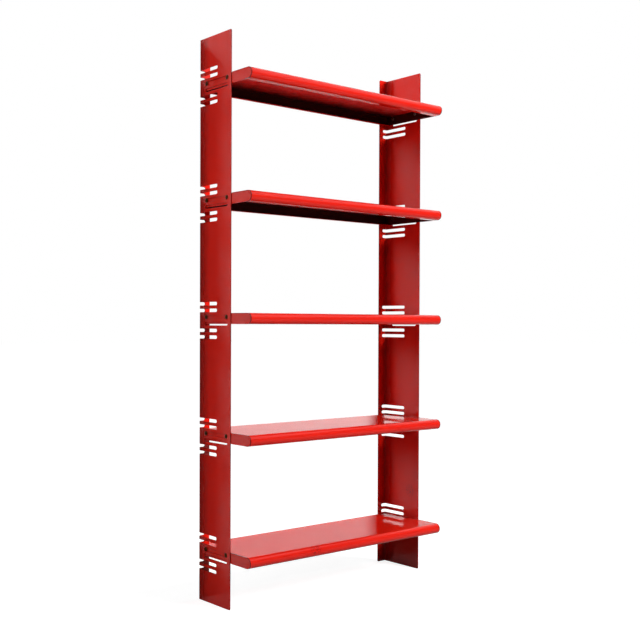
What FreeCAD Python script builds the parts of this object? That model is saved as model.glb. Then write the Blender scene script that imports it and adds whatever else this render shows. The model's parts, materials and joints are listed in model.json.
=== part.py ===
"""Wall bookcase of folded sheet steel: two slotted L-section uprights and five bull-nosed tray shelves.

Millimetres. +Z is up, +X runs along the shelves and the wall lies on the +Y side.
The origin is on the floor, in the middle of the bookcase's width and depth.
"""
import FreeCAD
import Part
import math
import os

# Whole bookcase
height = 2000.0
width = 930.0  # over the outer faces of the two uprights

# Uprights: a deep side plate with a narrow flange folded inwards along the wall
upright_depth = 195.0
upright_sheet = 3.0
upright_bend_radius = 4.0  # inside the fold
flange_width = 44.0
corner_radius = 6.0  # free corners at the top and the bottom

# Slots in the uprights, in rows counted from the row of bolts at each shelf
slot_height = 12.0
slot_pitch = 23.6
wrapped_slot_rows = (2, 1, -2, -3)
closed_slot_rows = (0, -1)  # from bolt to bolt
wrapped_slot_reach = 112.0  # along the side plate, from the wall
flange_slot_reach = 24.0  # along the flange, from the upright's outer face

# Shelves: open-bottomed trays with a half-round front edge
shelf_count = 5
top_shelf_drop = 167.0  # from the top of the uprights to the middle of the top shelf
lowest_shelf_level = 181.0  # from the floor to the middle of the lowest shelf
shelf_thickness = 38.0
shelf_projection = 117.0  # in front of the uprights
shelf_sheet = 1.5
shelf_bend_radius = 1.5  # inside the rear folds
front_return = 20.0  # flat strip under the front edge
rear_return = 14.0  # flat strip under the rear edge
nose_gap = 6.0  # between an upright's front edge and the wide front of a shelf
rear_clearance = 0.5  # between the shelf's back and the curve of the upright's fold

# Shelf ends: a full-depth plate that takes the bolts, and a cap on the part in front of the upright
end_plate_sheet = 2.5
cap_inset = 0.8  # of the cap behind the tray's cut edge

# Mushroom-head bolts with square necks, and the nuts that hold them inside the end plates
bolt_rise = 5.5  # above the middle of the shelf
rear_bolt_setback = 45.0  # from the wall
front_bolt_setback = 25.0  # from the upright's front edge
bolt_radius = 3.0
bolt_tip_reach = 2.0  # beyond the nut
head_radius = 8.3
head_height = 3.6
neck_width = 6.5
neck_shortfall = 0.5  # of the neck, so that the nut clamps the plate and not the neck
hole_clearance = 0.25  # round the neck, in the end plate
nut_sides = 6
nut_width = 10.0  # across flats
nut_height = 5.0
thread_clearance = 0.1

# Every cut runs this far past the sheet that it cuts
overrun = 8.0

# Places that follow from the sizes above
depth = upright_depth + shelf_projection
back = depth / 2
front = -depth / 2
outer_face = width / 2
inner_face = outer_face - upright_sheet
plate_back = inner_face - end_plate_sheet
upright_front = back - upright_depth
flange_front = back - upright_sheet
flange_end = outer_face - flange_width
cap_rear = upright_front - nose_gap
nose_axis = front + shelf_thickness / 2
shelf_rear = flange_front - upright_bend_radius - rear_clearance
shelf_pitch = (height - top_shelf_drop - lowest_shelf_level) / (shelf_count - 1)
bolt_places = (upright_front + front_bolt_setback, back - rear_bolt_setback)

ALONG_X = FreeCAD.Vector(1, 0, 0)
ALONG_Y = FreeCAD.Vector(0, 1, 0)
ALONG_Z = FreeCAD.Vector(0, 0, 1)
ORIGIN = FreeCAD.Vector(0, 0, 0)


def point(x, y, z):
    return FreeCAD.Vector(x, y, z)


def line(start, end):
    return Part.LineSegment(start, end).toShape()


def arc(start, middle, end):
    return Part.Arc(start, middle, end).toShape()


def block(low, high):
    """Box between two opposite corners."""
    size = high - low
    return Part.makeBox(size.x, size.y, size.z, low)


def mirrored(shape):
    """The same shape on the other side of the bookcase."""
    return shape.mirror(ORIGIN, ALONG_X)


def shelf_levels():
    """Heights of the middles of the shelves, from the top one down."""
    return [lowest_shelf_level + index * shelf_pitch for index in reversed(range(shelf_count))]


def bolt_points(x, level):
    """Places on the axes of the two bolts at the right-hand end of a shelf."""
    return [point(x, place, level + bolt_rise) for place in bolt_places]


def square_bar(width_across, start, reach):
    """Square bar along X from the middle of its first end."""
    half = (ALONG_Y + ALONG_Z) * (width_across / 2)
    return block(start - half, start + half + ALONG_X * reach)


def slot_cutter(first, last, through):
    """Cutter for a round-ended slot between two end centres, pushed along a vector."""
    radius = slot_height / 2
    reach = (last - first).normalize() * radius
    rise = ALONG_Z * radius
    edges = [
        line(first + rise, last + rise),
        arc(last + rise, last + reach, last - rise),
        line(last - rise, first - rise),
        arc(first - rise, first - reach, first + rise),
    ]
    return Part.Face(Part.Wire(edges)).extrude(through)


def plate_slot(first_y, last_y, level):
    """Cutter for a slot in the right-hand side plate and the outside of its fold."""
    start_x = inner_face - upright_bend_radius
    through = ALONG_X * (outer_face + overrun - start_x)
    return slot_cutter(point(start_x, first_y, level), point(start_x, last_y, level), through)


def flange_slot(level):
    """Cutter that carries a wrapped slot round the fold and along the right-hand flange."""
    end_x = outer_face - flange_slot_reach + slot_height / 2
    start_y = flange_front - upright_bend_radius
    through = ALONG_Y * (back + overrun - start_y)
    return slot_cutter(point(end_x, start_y, level), point(outer_face + overrun, start_y, level), through)


def slot_group(level):
    """Cutters for all the slots of the right-hand upright at one shelf."""
    bolt_level = level + bolt_rise
    wrapped_end = back - wrapped_slot_reach + slot_height / 2
    front_bolt, rear_bolt = bolt_places
    cutters = []
    for row in closed_slot_rows:
        cutters.append(plate_slot(front_bolt, rear_bolt, bolt_level + row * slot_pitch))
    for row in wrapped_slot_rows:
        row_level = bolt_level + row * slot_pitch
        cutters.append(plate_slot(wrapped_end, back + overrun, row_level))
        cutters.append(flange_slot(row_level))
    return cutters


def bolt_holes(level):
    """Cutters for the two square bolt holes in the plate at the right-hand end of a shelf."""
    start_x = plate_back - overrun
    reach = inner_face + overrun - start_x
    hole_width = neck_width + 2 * hole_clearance
    return [square_bar(hole_width, start, reach) for start in bolt_points(start_x, level)]


def folded_section():
    """L-shaped section of the right-hand upright, with its fold."""
    outer_bend = upright_bend_radius + upright_sheet
    bend_centre = point(outer_face - outer_bend, back - outer_bend, 0)
    slant = (ALONG_X + ALONG_Y).normalize()
    plate_front_outside = point(outer_face, upright_front, 0)
    plate_fold_outside = point(outer_face, bend_centre.y, 0)
    flange_fold_outside = point(bend_centre.x, back, 0)
    flange_end_outside = point(flange_end, back, 0)
    flange_end_inside = point(flange_end, flange_front, 0)
    flange_fold_inside = point(bend_centre.x, flange_front, 0)
    plate_fold_inside = point(inner_face, bend_centre.y, 0)
    plate_front_inside = point(inner_face, upright_front, 0)
    edges = [
        line(plate_front_outside, plate_fold_outside),
        arc(plate_fold_outside, bend_centre + slant * outer_bend, flange_fold_outside),
        line(flange_fold_outside, flange_end_outside),
        line(flange_end_outside, flange_end_inside),
        line(flange_end_inside, flange_fold_inside),
        arc(flange_fold_inside, bend_centre + slant * upright_bend_radius, plate_fold_inside),
        line(plate_fold_inside, plate_front_inside),
        line(plate_front_inside, plate_front_outside),
    ]
    return Part.Face(Part.Wire(edges))


def is_free_corner(edge):
    """True for the short edges across the sheet at the upright's free corners."""
    near = upright_sheet
    middle = edge.CenterOfMass
    at_top_or_bottom = min(middle.z, height - middle.z) < near
    at_plate_front = middle.y - upright_front < near
    at_flange_end = middle.x - flange_end < near
    return edge.Length < 2 * near and at_top_or_bottom and (at_plate_front or at_flange_end)


def right_upright():
    """Folded sheet with its groups of slots, some of which run round the fold."""
    sheet = folded_section().extrude(ALONG_Z * height)
    sheet = sheet.makeFillet(corner_radius, [edge for edge in sheet.Edges if is_free_corner(edge)])
    cutters = []
    for level in shelf_levels():
        cutters += slot_group(level)
    return sheet.cut(cutters)


def shelf_section(inset, level):
    """Section of a shelf, drawn in from its outside by an inset."""
    nose_radius = shelf_thickness / 2 - inset
    bend = shelf_bend_radius + shelf_sheet - inset
    rear = shelf_rear - inset
    slant = bend * math.sqrt(0.5)
    top = level + nose_radius
    bottom = level - nose_radius
    lower_bend = point(0, rear - bend, bottom + bend)
    upper_bend = point(0, rear - bend, top - bend)
    nose_top = point(0, nose_axis, top)
    nose_bottom = point(0, nose_axis, bottom)
    edges = [
        line(nose_bottom, lower_bend - ALONG_Z * bend),
        arc(lower_bend - ALONG_Z * bend, lower_bend + point(0, slant, -slant), lower_bend + ALONG_Y * bend),
        line(lower_bend + ALONG_Y * bend, upper_bend + ALONG_Y * bend),
        arc(upper_bend + ALONG_Y * bend, upper_bend + point(0, slant, slant), upper_bend + ALONG_Z * bend),
        line(upper_bend + ALONG_Z * bend, nose_top),
        arc(nose_top, point(0, nose_axis - nose_radius, level), nose_bottom),
    ]
    return Part.Face(Part.Wire(edges))


def section_between(inset, level, start_x, end_x):
    """Shelf section swept along the shelf between two places."""
    section = shelf_section(inset, level)
    section.translate(ALONG_X * start_x)
    return section.extrude(ALONG_X * (end_x - start_x))


def behind_nose(start_x, level):
    """Block that takes away what lies behind the wide front of a shelf, at its right-hand end."""
    return block(
        point(start_x, cap_rear, level - shelf_thickness),
        point(outer_face + overrun, back, level + shelf_thickness),
    )


def shelf_pan(level):
    """Folded tray: top, rounded front, rear wall and the two strips turned in underneath."""
    pan = section_between(0, level, -outer_face, outer_face)
    inside = section_between(shelf_sheet, level, -outer_face - overrun, outer_face + overrun)
    underside = block(
        point(-outer_face - overrun, nose_axis + front_return, level - shelf_thickness),
        point(outer_face + overrun, shelf_rear - rear_return, level),
    )
    notch = behind_nose(inner_face, level)
    return pan.cut([inside, underside, notch, mirrored(notch)])


def right_end_plate(level, pan):
    """Plate that closes the right-hand end of a tray and takes its bolts."""
    plate = section_between(0, level, plate_back, inner_face)
    return plate.cut([pan] + bolt_holes(level))


def right_nose_cap(level, pan):
    """Cap that brings the front of a shelf out flush with the upright's outer face."""
    cap = section_between(0, level, inner_face, outer_face - cap_inset)
    return cap.cut([pan, behind_nose(plate_back, level)])


def bolt_head(seat):
    """Domed head, turned about the bolt's axis."""
    crown_radius = (head_radius ** 2 + head_height ** 2) / (2 * head_height)
    half_angle = math.asin(head_radius / crown_radius) / 2
    crown_centre = head_height - crown_radius
    half_way = point(math.cos(half_angle), 0, math.sin(half_angle)) * crown_radius
    rim = seat + ALONG_Z * head_radius
    crown = seat + ALONG_X * crown_centre + half_way
    top = seat + ALONG_X * head_height
    edges = [line(seat, rim), arc(rim, crown, top), line(top, seat)]
    return Part.Face(Part.Wire(edges)).revolve(seat, ALONG_X, math.degrees(math.tau))


def right_bolt(seat):
    """Mushroom-head bolt whose head is seated at a point on the upright's outer face."""
    neck_length = upright_sheet + end_plate_sheet - neck_shortfall
    bolt_length = upright_sheet + end_plate_sheet + nut_height + bolt_tip_reach
    neck = square_bar(neck_width, seat - ALONG_X * neck_length, neck_length)
    shank = Part.makeCylinder(bolt_radius, bolt_length, seat - ALONG_X * bolt_length, ALONG_X)
    return bolt_head(seat).fuse([neck, shank]).removeSplitter()


def right_nut(seat):
    """Hexagon nut seated at a point on the inside of the end plate."""
    corner_reach = nut_width / (2 * math.cos(math.pi / nut_sides))
    corners = []
    for index in range(nut_sides):
        angle = index * math.tau / nut_sides
        corners.append(seat + point(0, math.sin(angle), math.cos(angle)) * corner_reach)
    outline = Part.makePolygon(corners + corners[:1])
    blank = Part.Face(outline).extrude(-ALONG_X * nut_height)
    bore_start = seat - ALONG_X * (nut_height + overrun)
    bore = Part.makeCylinder(bolt_radius + thread_clearance, nut_height + 2 * overrun, bore_start, ALONG_X)
    return blank.cut(bore)


def both_ends(shapes):
    """Group of the pieces at a shelf's right-hand end and the same pieces at its left-hand end."""
    return Part.makeCompound(shapes + [mirrored(shape) for shape in shapes])


def shelf_pieces(level):
    """Every piece of one shelf by name."""
    pan = shelf_pan(level)
    end_plate = right_end_plate(level, pan)
    nose_cap = right_nose_cap(level, pan)
    return {
        "pan": pan,
        "right_end_plate": end_plate,
        "left_end_plate": mirrored(end_plate),
        "right_nose_cap": nose_cap,
        "left_nose_cap": mirrored(nose_cap),
        "bolts": both_ends([right_bolt(seat) for seat in bolt_points(outer_face, level)]),
        "nuts": both_ends([right_nut(seat) for seat in bolt_points(plate_back, level)]),
    }


def bookcase_pieces():
    """Every piece of the bookcase by name. Shelf 1 is the top one."""
    upright = right_upright()
    made = {"right_upright": upright, "left_upright": mirrored(upright)}
    for number, level in enumerate(shelf_levels(), start=1):
        for name, shape in shelf_pieces(level).items():
            made[f"shelf_{number}_{name}"] = shape
    return made


os.makedirs("parts", exist_ok=True)
for node, shape in bookcase_pieces().items():
    shape.exportStep(f"parts/{node}.step")
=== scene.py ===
import json
import math

import bmesh
import bpy
from mathutils import Matrix, Vector


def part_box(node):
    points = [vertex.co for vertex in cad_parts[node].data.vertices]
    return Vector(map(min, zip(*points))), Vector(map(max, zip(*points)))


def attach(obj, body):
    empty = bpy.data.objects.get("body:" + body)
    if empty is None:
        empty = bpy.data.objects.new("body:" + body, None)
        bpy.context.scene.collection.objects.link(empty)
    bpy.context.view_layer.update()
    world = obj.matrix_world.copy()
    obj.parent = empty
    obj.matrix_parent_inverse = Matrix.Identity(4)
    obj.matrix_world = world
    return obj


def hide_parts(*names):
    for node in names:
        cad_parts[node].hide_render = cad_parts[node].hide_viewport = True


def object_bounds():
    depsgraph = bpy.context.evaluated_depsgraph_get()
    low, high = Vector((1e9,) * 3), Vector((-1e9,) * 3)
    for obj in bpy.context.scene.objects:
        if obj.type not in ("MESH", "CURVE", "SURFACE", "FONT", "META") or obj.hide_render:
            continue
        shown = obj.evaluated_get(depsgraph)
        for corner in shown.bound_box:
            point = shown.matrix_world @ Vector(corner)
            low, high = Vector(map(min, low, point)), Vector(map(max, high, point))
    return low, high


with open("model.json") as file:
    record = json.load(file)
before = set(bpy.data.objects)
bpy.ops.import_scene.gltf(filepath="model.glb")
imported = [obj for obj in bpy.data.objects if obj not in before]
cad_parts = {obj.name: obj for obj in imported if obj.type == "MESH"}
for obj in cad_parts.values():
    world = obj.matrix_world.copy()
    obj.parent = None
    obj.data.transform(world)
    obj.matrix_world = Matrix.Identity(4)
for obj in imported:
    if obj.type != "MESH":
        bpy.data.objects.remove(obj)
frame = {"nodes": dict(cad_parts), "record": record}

cad_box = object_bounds()
rear_face = cad_box[1].y
outer_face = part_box("right_upright")[1].x
nodes = frame["nodes"]
slots = {part["node"]: part["material_slot"] for part in frame["record"]["subparts"]}
shelf_count = sum(name.endswith("_pan") for name in nodes)

# Photograph, and the camera fitted to it in pixels, metres, degrees and millimetres of sensor
image_size = 640
focal_pixels = 999.94
centre_pixel = (318.98, 335.25)
camera_place = (-2.4534, -2.8572, 0.9905)
camera_yaw = -40.2605
camera_pitch = -0.6645
camera_roll = 0.2155
sensor_width = 36.0

# Sheet metal: the enamel rounds every cut edge
upright_edge_radius = 0.0006
shelf_edge_radius = 0.0004
edge_steps = 3
round_profile = 0.5
merge_distance = 1e-6
flat_angle = math.radians(1)
sharp_angle = math.radians(35)
fold_reach = 0.012  # of the bent part of an upright, from its outer corner
facing_share = 0.5  # least part of a face's normal along the axis that it faces

# Bolts and nuts, beyond what the solids give
ring_points = 48
dome_steps = 8
head_rim = 0.0005
neck_width = 0.0065
neck_corner_radius = 0.0041
neck_end_gap = 0.0005
thread_radius = 0.00295
thread_pitch = 0.001
thread_depth = 0.0006
thread_steps = 8
tip_chamfer = 0.0008
nut_bore_radius = 0.0031
nut_bore_chamfer = 0.0004
nut_chamfer_share = 0.96
nut_chamfer_angle = math.radians(30)
nut_chamfer_steps = 4
hexagon_side = math.tau / 6

# Red enamel, with linear colours as in the other finishes
deep_red = (0.76, 0.0125, 0.0050)
bright_red = (0.82, 0.0150, 0.0060)
enamel_ior = 1.4
# Painted shade at the uprights' folds and back edges, in a colour shared with the shade and grime of the
# trays' end seams
shade_and_grime_colour = (0.05, 0.003, 0.002)
fold_shade_reach = 0.065
fold_shade_ragged = 0.006
fold_shade_cover = 0.6
fold_shade_roughness = 0.6
fold_shade_weights = (2.3, 1, 0)  # it reaches further along the side plate than along the flange
# Dark seam at the trays' ends, partly painted shade and partly grime
seam_width = 0.0025
seam_reach = 0.0045
seam_cover = 0.85
thin_colour = (0.12, 0.004, 0.003)  # of the enamel over a cut edge
thin_cover = 0.7
chip_colour = (0.035, 0.020, 0.017)
chip_spread = (0.66, 0.69)
chip_roughness = 0.5
scuff_places = ((-0.173, -0.155, 0.191), (0.462, 0.008, 0.312))  # lowest nose, right upright
scuff_colour = (0.25, 0.003, 0.004)
scuff_reach = 0.028
scuff_spread = (0.50, 0.58)
scuff_cover = 0.7
wave_relief = 0.0004
peel_relief = 0.00002

# Inside of the trays, with painted shade that darkens it towards the wall and over the end plates
inside_red = (0.62, 0.010, 0.006)
inside_shade_colour = (0.050, 0.004, 0.003)
inside_shade_start = 0.030
inside_shade_end = 0.125
inside_shade_ragged = 0.02
inside_specular = 0.1
inside_relief = 0.00004

# Bolt and nut steel
dark_brown = (0.055, 0.016, 0.005)
light_brown = (0.10, 0.030, 0.009)
rubbed_brown = (0.14, 0.055, 0.025)
rubbed_cover = 0.5
bolt_relief = 0.00002
dull_zinc = (0.40, 0.39, 0.37)
bright_zinc = (0.52, 0.51, 0.48)
nut_relief = 0.00001
stain_spread = (0.35, 0.65)

# Stage, where a brightness of one is white
dim_light = (0.02, 0.02, 0.021, 1)
room_level = 0.15  # of the room in front, in the gloss
room_way = -0.5  # part of a direction that points to the wall, where the room starts
backdrop_way = 0.1  # the same, where the backdrop starts
floor_reach = 40.0
floor_bounce = (0.24, 0.24, 0.24)  # for the light that the floor sends back to the object
floor_pictured = (0.42, 0.42, 0.42)  # for the shadow in the picture
floor_near = 0.7
floor_near_level = 0.88
floor_far = 2.5
floor_backdrop = 3.0  # how far behind the object the floor is white in the gloss
wall_reach = 4.0
wall_gap = 0.003
wall_grey = (0.85, 0.85, 0.85, 1)
softbox_sides = (-1.5, 2.0)
softbox_ends = (-3.0, -0.2)
softbox_height = 2.6
lamp_target = (0, 0, 1.0)
key_place = (2.18, -4.67, 3.19)
key_size = 1.8
key_power = 358
fill_place = (-4.55, -0.56, 4.21)
fill_size = 2.0
fill_power = 64
rear_place = (0.6, 4, 1)
rear_angle = math.radians(6)
rear_power = 1.3


def make_camera():
    """Camera at the photograph's place, fitted to the edges of the object."""
    yaw, pitch, roll = (math.radians(angle) for angle in (camera_yaw, camera_pitch, camera_roll))
    ahead = Vector((-math.sin(yaw) * math.cos(pitch), math.cos(yaw) * math.cos(pitch), math.sin(pitch)))
    right = Vector((math.cos(yaw), math.sin(yaw), 0))
    up = right.cross(ahead)
    turned_right = right * math.cos(roll) + up * math.sin(roll)
    turned_up = up * math.cos(roll) - right * math.sin(roll)
    data = bpy.data.cameras.new("camera")
    data.sensor_width = sensor_width
    data.lens = focal_pixels / image_size * sensor_width
    data.shift_x = 0.5 - centre_pixel[0] / image_size
    data.shift_y = centre_pixel[1] / image_size - 0.5
    camera = bpy.data.objects.new("camera", data)
    axes = Matrix((turned_right, turned_up, -ahead)).transposed().to_4x4()
    camera.matrix_world = Matrix.Translation(camera_place) @ axes
    bpy.context.scene.collection.objects.link(camera)
    bpy.context.scene.camera = camera


def new_material(name):
    """Empty node material with its principled shader."""
    material = bpy.data.materials.new(name)
    material.use_nodes = True
    tree = material.node_tree
    return material, tree, tree.nodes["Principled BSDF"]


def node(tree, kind, **settings):
    """Node of a kind, with its attributes set."""
    made = tree.nodes.new(kind)
    for name, value in settings.items():
        setattr(made, name, value)
    return made


def object_place(tree):
    """Place in the object's own coordinates."""
    return node(tree, "ShaderNodeTexCoord").outputs["Object"]


def noise(tree, scale, detail, roughness=0.5):
    """Noise in the object's own coordinates."""
    made = node(tree, "ShaderNodeTexNoise")
    made.inputs["Scale"].default_value = scale
    made.inputs["Detail"].default_value = detail
    made.inputs["Roughness"].default_value = roughness
    tree.links.new(object_place(tree), made.inputs["Vector"])
    return made.outputs["Fac"]


def attribute(tree, name):
    """Number kept on the mesh under a name."""
    return node(tree, "ShaderNodeAttribute", attribute_name=name).outputs["Fac"]


def remap(tree, value, from_low, from_high, to_low, to_high):
    """Value carried from one range to another and held inside it."""
    made = node(tree, "ShaderNodeMapRange", clamp=True)
    ranges = (from_low, from_high, to_low, to_high)
    for name, number in zip(("From Min", "From Max", "To Min", "To Max"), ranges):
        made.inputs[name].default_value = number
    tree.links.new(value, made.inputs["Value"])
    return made.outputs["Result"]


def mottle(tree, scale, detail, low=0, high=1, spread=(0.3, 0.7), roughness=0.5):
    """Noise whose spread is carried to a range."""
    return remap(tree, noise(tree, scale, detail, roughness), *spread, low, high)


def combine(tree, operation, first, second):
    """Result of a sum on two values."""
    made = node(tree, "ShaderNodeMath", operation=operation)
    tree.links.new(first, made.inputs[0])
    tree.links.new(second, made.inputs[1])
    return made.outputs[0]


def mirrored_distance(tree, point, weights):
    """Distance from a point and its mirror images in the middle planes, with each axis weighted."""
    place = object_place(tree)
    for operation, amount in (("ABSOLUTE", (0, 0, 0)), ("SUBTRACT", point), ("MULTIPLY", weights)):
        step = node(tree, "ShaderNodeVectorMath", operation=operation)
        tree.links.new(place, step.inputs[0])
        step.inputs[1].default_value = amount
        place = step.outputs[0]
    made = node(tree, "ShaderNodeVectorMath", operation="LENGTH")
    tree.links.new(place, made.inputs[0])
    return made.outputs["Value"]


def distance(tree, point):
    """Distance from a point."""
    made = node(tree, "ShaderNodeVectorMath", operation="DISTANCE")
    tree.links.new(object_place(tree), made.inputs[0])
    made.inputs[1].default_value = point
    return made.outputs["Value"]


def wallwards(tree, place):
    """Part of a place or direction that points to the wall."""
    made = node(tree, "ShaderNodeSeparateXYZ")
    tree.links.new(place, made.inputs[0])
    return made.outputs["Y"]


def blend(tree, factor, first, second):
    """Colour between two colours or colour outputs."""
    made = node(tree, "ShaderNodeMix", data_type="RGBA")
    tree.links.new(factor, made.inputs["Factor"])
    for socket, colour in ((made.inputs[6], first), (made.inputs[7], second)):
        if isinstance(colour, tuple):
            socket.default_value = (*colour, 1)
        else:
            tree.links.new(colour, socket)
    return made.outputs[2]


def bump(tree, height, relief, under=None):
    """Bump from a height, over another bump where there is one."""
    made = node(tree, "ShaderNodeBump")
    made.inputs["Distance"].default_value = relief
    tree.links.new(height, made.inputs["Height"])
    if under:
        tree.links.new(under, made.inputs["Normal"])
    return made.outputs["Normal"]


def painted_shade_along_fold(tree):
    """Painted shade where an upright folds at the wall and along its back edge, with a ragged border."""
    from_fold = mirrored_distance(tree, (outer_face, rear_face, 0), fold_shade_weights)
    cloud = mottle(tree, scale=22.0, detail=4, low=-fold_shade_ragged, high=fold_shade_ragged)
    fold_shade = remap(tree, combine(tree, "ADD", from_fold, cloud), 0, fold_shade_reach, fold_shade_cover, 0)
    return combine(tree, "MULTIPLY", fold_shade, attribute(tree, "folded"))


def seam_at_ends(tree):
    """Dark seam beside the cut ends of a tray: painted shade of the joint's gap, with grime in it."""
    from_end = mirrored_distance(tree, (outer_face, 0, 0), (1, 0, 0))
    seam = remap(tree, from_end, seam_width, seam_reach, seam_cover, 0)
    return combine(tree, "MULTIPLY", seam, attribute(tree, "open_ended"))


def scuff_marks(tree):
    """Small marks close to the scuffed places."""
    nearest = combine(tree, "MINIMUM", *(distance(tree, place) for place in scuff_places))
    scuffed = remap(tree, nearest, scuff_reach / 2, scuff_reach, 1, 0)
    marks = mottle(tree, scale=210.0, detail=2, high=scuff_cover, spread=scuff_spread)
    return combine(tree, "MULTIPLY", scuffed, marks)


def red_enamel():
    """Glossy stoved enamel with painted shade at the uprights' folds, painted shade and grime at the
    trays' ends, thin and chipped on cut edges.
    """
    material, tree, shader = new_material("red_enamel")
    tone = mottle(tree, scale=3.0, detail=3)
    coat = blend(tree, tone, deep_red, bright_red)
    # Painted shade along each upright's fold and back edge; the trays' end seams get painted shade and
    # grime in the same colour
    fold_shade = painted_shade_along_fold(tree)
    coat = blend(tree, combine(tree, "MAXIMUM", fold_shade, seam_at_ends(tree)), coat, shade_and_grime_colour)
    coat = blend(tree, scuff_marks(tree), coat, scuff_colour)
    edge = attribute(tree, "rim")
    coat = blend(tree, remap(tree, edge, 0, 1, 0, thin_cover), coat, thin_colour)
    spots = mottle(tree, scale=75.0, detail=4, spread=chip_spread, roughness=0.6)
    chip = combine(tree, "MULTIPLY", spots, edge)
    coat = blend(tree, chip, coat, chip_colour)
    tree.links.new(coat, shader.inputs["Base Color"])
    haze = mottle(tree, scale=9.0, detail=4, low=0.05, high=0.09, spread=(0.35, 0.7))
    chip_dull = remap(tree, chip, 0, 1, 0, chip_roughness)
    fold_shade_dull = remap(tree, fold_shade, 0.2, 0.5, 0, fold_shade_roughness)
    rough = combine(tree, "MAXIMUM", haze, combine(tree, "MAXIMUM", chip_dull, fold_shade_dull))
    tree.links.new(rough, shader.inputs["Roughness"])
    waves = bump(tree, noise(tree, scale=14.0, detail=1), wave_relief)
    peel = bump(tree, noise(tree, scale=420.0, detail=2), peel_relief, waves)
    tree.links.new(peel, shader.inputs["Normal"])
    shader.inputs["IOR"].default_value = enamel_ior
    return material


def shaded_tray_inside():
    """Red inside of the trays, darkened by painted shade.

    The painted shade deepens towards the wall and covers the end plates.
    """
    material, tree, shader = new_material("shaded_inside")
    speckle = mottle(tree, scale=30.0, detail=5, low=-inside_shade_ragged, high=inside_shade_ragged, roughness=0.6)
    ragged_depth = combine(tree, "ADD", wallwards(tree, object_place(tree)), speckle)
    shaded_towards_wall = remap(tree, ragged_depth, inside_shade_start, inside_shade_end, 0, 1)
    inside_shade = combine(tree, "MAXIMUM", shaded_towards_wall, attribute(tree, "shade_painted_plate"))
    tree.links.new(blend(tree, inside_shade, inside_red, inside_shade_colour), shader.inputs["Base Color"])
    rough = mottle(tree, scale=40.0, detail=4, low=0.35, high=0.55)
    tree.links.new(rough, shader.inputs["Roughness"])
    grain = bump(tree, noise(tree, scale=600.0, detail=3), inside_relief)
    tree.links.new(grain, shader.inputs["Normal"])
    shader.inputs["Specular IOR Level"].default_value = inside_specular
    return material


def dark_steel():
    """Burnished steel, brown-black, rubbed brighter on the rims of the heads."""
    material, tree, shader = new_material("dark_bolt_steel")
    stain = mottle(tree, scale=260.0, detail=4, spread=stain_spread)
    brown = blend(tree, stain, dark_brown, light_brown)
    rubbed = remap(tree, attribute(tree, "rim"), 0, 1, 0, rubbed_cover)
    tree.links.new(blend(tree, rubbed, brown, rubbed_brown), shader.inputs["Base Color"])
    rough = mottle(tree, scale=500.0, detail=3, low=0.35, high=0.5)
    tree.links.new(rough, shader.inputs["Roughness"])
    grain = bump(tree, noise(tree, scale=900.0, detail=2), bolt_relief)
    tree.links.new(grain, shader.inputs["Normal"])
    shader.inputs["Metallic"].default_value = 1.0
    return material


def zinc_steel():
    """Plain zinc-coated steel with a dull spangle."""
    material, tree, shader = new_material("plain_nut_steel")
    stain = mottle(tree, scale=180.0, detail=4, spread=stain_spread)
    tree.links.new(blend(tree, stain, dull_zinc, bright_zinc), shader.inputs["Base Color"])
    rough = mottle(tree, scale=400.0, detail=3, low=0.3, high=0.5)
    tree.links.new(rough, shader.inputs["Roughness"])
    grain = bump(tree, noise(tree, scale=1200.0, detail=2), nut_relief)
    tree.links.new(grain, shader.inputs["Normal"])
    shader.inputs["Metallic"].default_value = 1.0
    return material


def add_piece(work, name, materials):
    """Object made of a finished bmesh, which stands for the solid of the same name."""
    mesh = bpy.data.meshes.new(name + "_look")
    work.to_mesh(mesh)
    work.free()
    mesh.shade_smooth()
    mesh.set_sharp_from_angle(angle=sharp_angle)
    for slot in (slots[name], "inside"):
        mesh.materials.append(materials[slot])
    piece = bpy.data.objects.new(name + "_look", mesh)
    bpy.context.scene.collection.objects.link(piece)
    even = piece.modifiers.new("even_normals", "WEIGHTED_NORMAL")
    even.keep_sharp = True
    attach(piece, "root")
    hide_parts(name)


def copied_solid(name):
    """Mesh of a CAD node, to work on, with its points joined."""
    work = bmesh.new()
    work.from_mesh(nodes[name].data)
    bmesh.ops.remove_doubles(work, verts=work.verts, dist=merge_distance)
    return work


def rounded(name, radius, is_cut=lambda face: False):
    """Copy of a solid with its sharp edges rounded.

    Those edges, and the faces that a test calls cut, are marked as the rim for wear.
    """
    work = copied_solid(name)
    bmesh.ops.dissolve_limit(work, angle_limit=flat_angle, verts=work.verts, edges=work.edges)
    sharp = [edge for edge in work.edges if edge.calc_face_angle() > sharp_angle]
    made = bmesh.ops.bevel(
        work, geom=sharp, offset=radius, segments=edge_steps, profile=round_profile, affect="EDGES"
    )
    work.normal_update()
    worn = set(made["faces"]).union(face for face in work.faces if is_cut(face))
    rim = work.verts.layers.float.new("rim")
    for vert in work.verts:
        vert[rim] = float(worn.issuperset(vert.link_faces))
    return work


def mark_all(work, label):
    """Marks a whole piece under a name that its finish reads."""
    layer = work.verts.layers.float.new(label)
    for vert in work.verts:
        vert[layer] = 1.0


def mark_inside(work, is_inside):
    """Gives the second finish to the faces that a test on their middles finds inside a tray."""
    for face in work.faces:
        face.material_index = int(is_inside(face.calc_center_median()))


def across_upright(face):
    """True for a face that runs across the sheet of an upright."""
    middle = face.calc_center_median()
    if abs(face.normal.z) > facing_share:
        return True
    if middle.y < rear_face - fold_reach:
        return abs(face.normal.y) > facing_share
    return abs(middle.x) < outer_face - fold_reach and abs(face.normal.x) > facing_share


def make_uprights(materials):
    """Both folded uprights."""
    for name in ("left_upright", "right_upright"):
        upright = rounded(name, upright_edge_radius, across_upright)
        mark_all(upright, "folded")
        add_piece(upright, name, materials)


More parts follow.
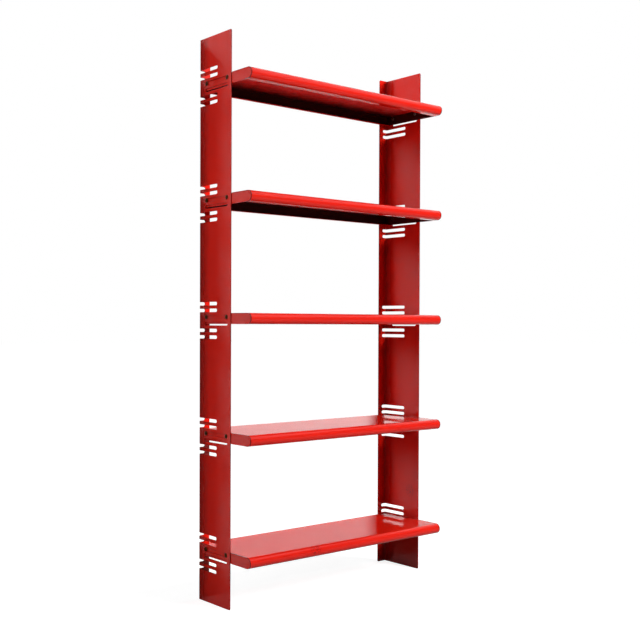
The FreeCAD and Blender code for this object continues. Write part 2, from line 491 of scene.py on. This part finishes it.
def make_shelf(number, materials):
    """Tray, end plates and nose caps of one shelf."""
    name = f"shelf_{number}_pan"
    tray_low, tray_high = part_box(name)
    half = (tray_high.z - tray_low.z) / 2
    level = tray_low.z + half
    nose_axis = tray_low.y + half
    skin_depth = 2 * shelf_edge_radius

    def in_tray(middle):
        reach = half - skin_depth
        if middle.y < nose_axis:
            return math.hypot(middle.y - nose_axis, middle.z - level) < reach
        return abs(middle.z - level) < reach and middle.y < tray_high.y - skin_depth

    tray = rounded(name, shelf_edge_radius)
    mark_all(tray, "open_ended")
    mark_inside(tray, in_tray)
    add_piece(tray, name, materials)
    for side in ("left", "right"):
        name = f"shelf_{number}_{side}_end_plate"
        plate_low, plate_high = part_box(name)
        plate_middle = abs(plate_low.x + plate_high.x) / 2
        plate = rounded(name, shelf_edge_radius)
        # The end plates' inside faces take the painted shade in full
        mark_all(plate, "shade_painted_plate")
        mark_inside(plate, lambda middle: abs(middle.x) < plate_middle)
        add_piece(plate, name, materials)
        name = f"shelf_{number}_{side}_nose_cap"
        add_piece(rounded(name, shelf_edge_radius), name, materials)


def solid_boxes(name):
    """Boxes of the separate solids in a node."""
    work = copied_solid(name)
    boxes = []
    waiting = set(work.verts)
    while waiting:
        found = [waiting.pop()]
        for vert in found:
            near = {edge.other_vert(vert) for edge in vert.link_edges} & waiting
            waiting -= near
            found.extend(near)
        corners = list(zip(*(vert.co for vert in found)))
        boxes.append((Vector(map(min, corners)), Vector(map(max, corners))))
    work.free()
    return boxes


def ring(along, radius_at):
    """Points round the X axis, at a radius that follows the angle."""
    points = []
    for index in range(ring_points):
        angle = index * math.tau / ring_points
        radius = radius_at(angle)
        points.append(Vector((along, radius * math.sin(angle), radius * math.cos(angle))))
    return points


def circle(along, radius):
    """Points round the X axis, at one radius."""
    return ring(along, lambda angle: radius)


def add_skin(work, rings, placed, rims=(), closed=False):
    """Skin over rings of points, each joined to the next.

    Its ends are filled unless it closes on itself, and the rings listed as rims are marked for wear.
    """
    rim = work.verts.layers.float.get("rim") or work.verts.layers.float.new("rim")
    loops = [[work.verts.new(placed @ point) for point in points] for points in rings]
    for index in rims:
        for vert in loops[index]:
            vert[rim] = 1.0
    pairs = list(zip(loops, loops[1:]))
    if closed:
        pairs.append((loops[-1], loops[0]))
    else:
        work.faces.new(loops[0])
        work.faces.new(loops[-1])
    for first, second in pairs:
        for index in range(ring_points):
            work.faces.new((first[index - 1], first[index], second[index], second[index - 1]))


def square_radius(angle):
    """Radius of the bolt's square neck, whose corners are rounded."""
    flat = neck_width / 2 / max(abs(math.sin(angle)), abs(math.cos(angle)))
    return min(flat, neck_corner_radius)


def bolt_rings(head_radius, head_height, neck_length, bolt_length):
    """Rings of a mushroom-head bolt from its crown, with the head's seat at zero.

    The second result lists the rings on the head's rim.
    """
    crown_radius = (head_radius ** 2 + head_height ** 2) / (2 * head_height)
    crown_centre = head_height - crown_radius
    half_angle = math.acos((head_rim - crown_centre) / crown_radius)
    rings = []
    for step in range(1, dome_steps + 1):
        angle = half_angle * step / dome_steps
        rings.append(circle(crown_centre + crown_radius * math.cos(angle), crown_radius * math.sin(angle)))
    rings.append(circle(head_rim / 2, head_radius))
    rings.append(circle(0, head_radius - head_rim / 2))
    rims = (dome_steps - 1, dome_steps)
    rings.append(ring(0, square_radius))
    rings.append(ring(-neck_length, square_radius))
    thread_end = bolt_length - tip_chamfer
    count = round((thread_end - neck_length) / thread_pitch * thread_steps)
    for step in range(count + 1):
        along = neck_length + (thread_end - neck_length) * step / count

        def ridge(angle, along=along):
            turn = (along / thread_pitch + angle / math.tau) % 1
            return thread_radius - thread_depth * abs(2 * turn - 1)

        rings.append(ring(-along, ridge))
    rings.append(circle(-bolt_length, thread_radius - tip_chamfer))
    return rings, rims


def nut_rings(flats, height):
    """Rings of a hexagon nut with chamfered corners, from its bore round its outside and back."""
    half_side = hexagon_side / 2
    end_radius = flats / 2 * nut_chamfer_share
    slope = 1 / math.tan(nut_chamfer_angle)
    corner = flats / 2 / math.cos(half_side)
    chamfer = (corner - end_radius) / slope

    def hexagon(angle, along):
        turned = (angle + half_side) % hexagon_side - half_side
        flat = flats / 2 / math.cos(half_side - abs(turned))
        return min(flat, end_radius + min(along, height - along) * slope)

    rings = [circle(nut_bore_chamfer, nut_bore_radius)]
    rings.append(circle(0, nut_bore_radius + nut_bore_chamfer))
    levels = [chamfer * step / nut_chamfer_steps for step in range(nut_chamfer_steps + 1)]
    levels += [height - level for level in reversed(levels)]
    for along in levels:
        rings.append(ring(along, lambda angle, along=along: hexagon(angle, along)))
    rings.append(circle(height, nut_bore_radius + nut_bore_chamfer))
    rings.append(circle(height - nut_bore_chamfer, nut_bore_radius))
    return rings


def outward_from(seat):
    """Place at a seat with X pointing out of the bookcase's nearer side."""
    turn = 0 if seat.x > 0 else math.pi
    return Matrix.Translation(seat) @ Matrix.Rotation(turn, 4, "Z")


def make_bolts(number, materials):
    """Bolts of one shelf, at the places of their solids."""
    name = f"shelf_{number}_bolts"
    plate_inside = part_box(f"shelf_{number}_right_end_plate")[0].x
    neck_length = outer_face - plate_inside - neck_end_gap
    bolts = bmesh.new()
    for bolt_low, bolt_high in solid_boxes(name):
        middle = (bolt_low + bolt_high) / 2
        head_radius = (bolt_high.y - bolt_low.y) / 2
        head_height = max(abs(bolt_low.x), abs(bolt_high.x)) - outer_face
        bolt_length = outer_face - min(abs(bolt_low.x), abs(bolt_high.x))
        rings, rims = bolt_rings(head_radius, head_height, neck_length, bolt_length)
        seat = Vector((math.copysign(outer_face, middle.x), middle.y, middle.z))
        add_skin(bolts, rings, outward_from(seat), rims)
    bmesh.ops.recalc_face_normals(bolts, faces=bolts.faces)
    add_piece(bolts, name, materials)


def make_nuts(number, materials):
    """Nuts of one shelf, at the places of their solids."""
    name = f"shelf_{number}_nuts"
    nuts = bmesh.new()
    for nut_low, nut_high in solid_boxes(name):
        middle = (nut_low + nut_high) / 2
        height = nut_high.x - nut_low.x
        seat = Vector((middle.x - math.copysign(height / 2, middle.x), middle.y, middle.z))
        add_skin(nuts, nut_rings(nut_high.y - nut_low.y, height), outward_from(seat), closed=True)
    bmesh.ops.recalc_face_normals(nuts, faces=nuts.faces)
    add_piece(nuts, name, materials)


def seen_rays(tree):
    """One for rays from the camera, and one for those and any that are mirrored or sent through glass."""
    path = node(tree, "ShaderNodeLightPath")
    pictured = path.outputs["Is Camera Ray"]
    seen = pictured
    for name in ("Is Glossy Ray", "Is Transmission Ray"):
        seen = combine(tree, "MAXIMUM", seen, path.outputs[name])
    return pictured, seen


def make_world():
    """White where it is seen, less so in the gloss towards the room, and a dim light elsewhere."""
    world = bpy.data.worlds.new("world")
    bpy.context.scene.world = world
    world.use_nodes = True
    tree = world.node_tree
    dim = tree.nodes["Background"]
    dim.inputs["Color"].default_value = dim_light
    white = node(tree, "ShaderNodeBackground")
    white.inputs["Color"].default_value = (1, 1, 1, 1)
    pictured, seen = seen_rays(tree)
    direction = node(tree, "ShaderNodeTexCoord").outputs["Generated"]
    in_gloss = remap(tree, wallwards(tree, direction), room_way, backdrop_way, room_level, 1)
    tree.links.new(combine(tree, "MAXIMUM", pictured, in_gloss), white.inputs["Strength"])
    mixed = node(tree, "ShaderNodeMixShader")
    tree.links.new(seen, mixed.inputs[0])
    tree.links.new(dim.outputs[0], mixed.inputs[1])
    tree.links.new(white.outputs[0], mixed.inputs[2])
    tree.links.new(mixed.outputs[0], tree.nodes["World Output"].inputs["Surface"])


def plane(name, corners):
    """Flat quadrilateral of the stage."""
    mesh = bpy.data.meshes.new(name)
    mesh.from_pydata(corners, [], [range(4)])
    obj = bpy.data.objects.new(name, mesh)
    bpy.context.scene.collection.objects.link(obj)
    return obj


def level_plane(name, sides, ends, height):
    """Level rectangle of the stage."""
    left, right = sides
    front, back = ends
    corners = [(left, front), (right, front), (right, back), (left, back)]
    return plane(name, [(*corner, height) for corner in corners])


def make_floor():
    """Pale floor that takes the object's shadow.

    It is white where it is seen, a little less so close by, and dimmer in the gloss towards the room.
    """
    edges = (-floor_reach, floor_reach)
    floor = level_plane("floor", edges, edges, 0)
    material, tree, shader = new_material("floor")
    tree.nodes.remove(shader)
    matt = node(tree, "ShaderNodeBsdfDiffuse")
    glow = node(tree, "ShaderNodeEmission")
    both = node(tree, "ShaderNodeAddShader")
    pictured, seen = seen_rays(tree)
    tree.links.new(blend(tree, pictured, floor_bounce, floor_pictured), matt.inputs["Color"])
    away = mirrored_distance(tree, (0, 0, 0), (1, 1, 0))
    whiteness = remap(tree, away, floor_near, floor_far, floor_near_level, 1)
    in_picture = combine(tree, "MULTIPLY", pictured, whiteness)
    towards_wall = remap(tree, wallwards(tree, object_place(tree)), 0, floor_backdrop, room_level, 1)
    in_gloss = combine(tree, "MULTIPLY", seen, towards_wall)
    tree.links.new(combine(tree, "MAXIMUM", in_picture, in_gloss), glow.inputs["Strength"])
    tree.links.new(matt.outputs[0], both.inputs[0])
    tree.links.new(glow.outputs[0], both.inputs[1])
    tree.links.new(both.outputs[0], tree.nodes["Material Output"].inputs["Surface"])
    floor.data.materials.append(material)


def make_wall():
    """White wall behind the bookcase, which lights it and shows in its gloss but not in the picture."""
    left, right, top = -wall_reach, wall_reach, wall_reach
    y = rear_face + wall_gap
    wall = plane("wall", [(left, y, 0), (right, y, 0), (right, y, top), (left, y, top)])
    wall.visible_camera = False
    wall.visible_shadow = False
    material, _, shader = new_material("wall")
    shader.inputs["Base Color"].default_value = wall_grey
    shader.inputs["Roughness"].default_value = 1.0
    shader.inputs["Specular IOR Level"].default_value = 0.0
    wall.data.materials.append(material)


def make_softbox():
    """Soft box overhead in front, which shows only in the gloss."""
    box = level_plane("softbox", softbox_sides, softbox_ends, softbox_height)
    box.visible_camera = False
    box.visible_diffuse = False
    box.visible_transmission = False
    box.visible_shadow = False
    material, _, shader = new_material("softbox")
    shader.inputs["Base Color"].default_value = (0, 0, 0, 1)
    shader.inputs["Emission Color"].default_value = (1, 1, 1, 1)
    shader.inputs["Emission Strength"].default_value = 1.0
    box.data.materials.append(material)


def add_lamp(data, place):
    """Lamp at a place that faces the middle of the object and doesn't show in the gloss."""
    lamp = bpy.data.objects.new(data.name, data)
    lamp.location = place
    lamp.rotation_mode = "QUATERNION"
    lamp.rotation_quaternion = (Vector(lamp_target) - Vector(place)).to_track_quat("-Z", "Y")
    lamp.visible_glossy = False
    bpy.context.scene.collection.objects.link(lamp)


def area_lamp(name, place, size, power):
    """Square soft lamp."""
    data = bpy.data.lights.new(name, "AREA")
    data.size = size
    data.energy = power
    add_lamp(data, place)


def rear_lamp():
    """Level light from behind and a little from the right, which falls only on what faces the wall."""
    data = bpy.data.lights.new("rear", "SUN")
    data.energy = rear_power
    data.angle = rear_angle
    add_lamp(data, rear_place)


finishes = {
    "red_enamel": red_enamel(),
    "inside": shaded_tray_inside(),
    "dark_bolt_steel": dark_steel(),
    "plain_nut_steel": zinc_steel(),
}
make_uprights(finishes)
for shelf_number in range(1, shelf_count + 1):
    make_shelf(shelf_number, finishes)
    make_bolts(shelf_number, finishes)
    make_nuts(shelf_number, finishes)
make_camera()
make_world()
make_floor()
make_wall()
make_softbox()
area_lamp("key", key_place, key_size, key_power)
area_lamp("fill", fill_place, fill_size, fill_power)
rear_lamp()

bpy.context.scene.view_settings.view_transform = "Standard"
